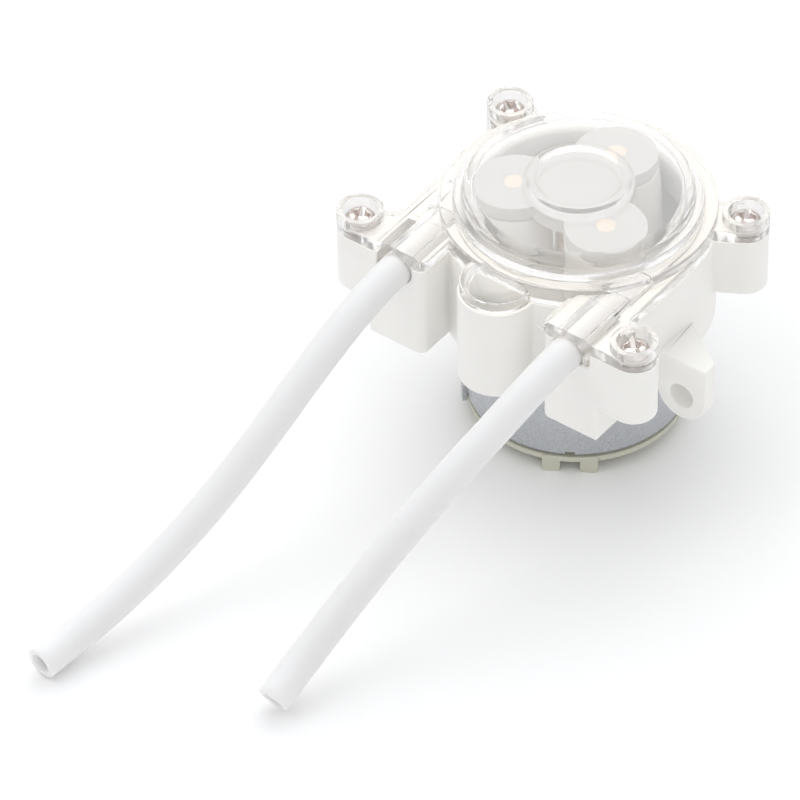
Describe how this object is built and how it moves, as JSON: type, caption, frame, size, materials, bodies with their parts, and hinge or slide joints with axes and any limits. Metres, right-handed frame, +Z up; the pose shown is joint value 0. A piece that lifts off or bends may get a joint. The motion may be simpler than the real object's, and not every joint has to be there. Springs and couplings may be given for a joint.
{
  "type": "peristaltic pump",
  "caption": "Small roller-type peristaltic pump head with a clear screwed cover, mounting ears, a coaxial DC motor and two free silicone hoses.",
  "frame": {"origin": "on the pump and motor axis, at the underside of the motor's end cap, which the pump stands on", "axes": "+Z up the shaft from the motor to the cover, -Y the way the two hoses leave the head, +X from the inlet hose's side to the outlet hose's side"},
  "size_m": [0.0556, 0.1095, 0.0415],
  "materials": {
    "white_abs": "moulded satin",
    "clear_plastic": "clear polished",
    "silicone": "translucent matte",
    "white_pom": "moulded satin",
    "nickel_screw": "nickel plated",
    "brass": "turned",
    "zinc_steel": "zinc plated, fine speckle",
    "natural_nylon": "moulded satin",
    "steel": "ground",
    "iron": "laminated sheet",
    "ferrite": "sintered",
    "copper": "enamelled wire and strip",
    "bronze": "sintered"
  },
  "bodies": {
    "housing": {"pump_base": "white_abs", "top_cover": "clear_plastic", "cover_screw_front_left": "nickel_screw", "cover_screw_front_right": "nickel_screw", "cover_screw_back_left": "nickel_screw", "cover_screw_back_right": "nickel_screw", "pump_tube": "silicone", "inlet_hose": "silicone", "outlet_hose": "silicone", "motor_can": "zinc_steel", "motor_end_cap": "natural_nylon", "front_bush": "bronze", "rear_bush": "bronze", "magnet_left": "ferrite", "magnet_right": "ferrite", "brush_front": "copper", "brush_rear": "copper", "terminal_front": "brass", "terminal_rear": "brass", "motor_screw_left": "nickel_screw", "motor_screw_right": "nickel_screw"},
    "armature": {"motor_shaft": "steel", "drive_sleeve": "brass", "armature_core": "iron", "winding_1": "copper", "winding_2": "copper", "winding_3": "copper", "commutator": "copper"},
    "rotor": {"lower_carrier": "white_pom", "upper_carrier": "white_pom", "roller_pin_1": "brass", "roller_pin_2": "brass", "roller_pin_3": "brass"},
    "roller_1": {"roller_1": "white_pom"},
    "roller_2": {"roller_2": "white_pom"},
    "roller_3": {"roller_3": "white_pom"}
  },
  "joints": [
    {"name": "armature_spin", "type": "hinge", "parent": "housing", "child": "armature", "pos_m": [0, 0, 0.0125], "axis": [0, 0, 1], "continuous": true},
    {"name": "rotor_spin", "type": "hinge", "parent": "housing", "child": "rotor", "pos_m": [0, 0, 0.0326], "axis": [0, 0, 1], "continuous": true},
    {"name": "roller_spin_1", "type": "hinge", "parent": "rotor", "child": "roller_1", "pos_m": [0, 0.009, 0.0326], "axis": [0, 0, 1], "continuous": true},
    {"name": "roller_spin_2", "type": "hinge", "parent": "rotor", "child": "roller_2", "pos_m": [-0.00779, -0.0045, 0.0326], "axis": [0, 0, 1], "continuous": true},
    {"name": "roller_spin_3", "type": "hinge", "parent": "rotor", "child": "roller_3", "pos_m": [0.00779, -0.0045, 0.0326], "axis": [0, 0, 1], "continuous": true}
  ],
  "couplings": [
    {"joint": "rotor_spin", "follows": "armature_spin", "ratio": 0.18333},
    {"joint": "roller_spin_1", "follows": "armature_spin", "ratio": -0.47281},
    {"joint": "roller_spin_2", "follows": "armature_spin", "ratio": -0.47281},
    {"joint": "roller_spin_3", "follows": "armature_spin", "ratio": -0.47281}
  ]
}
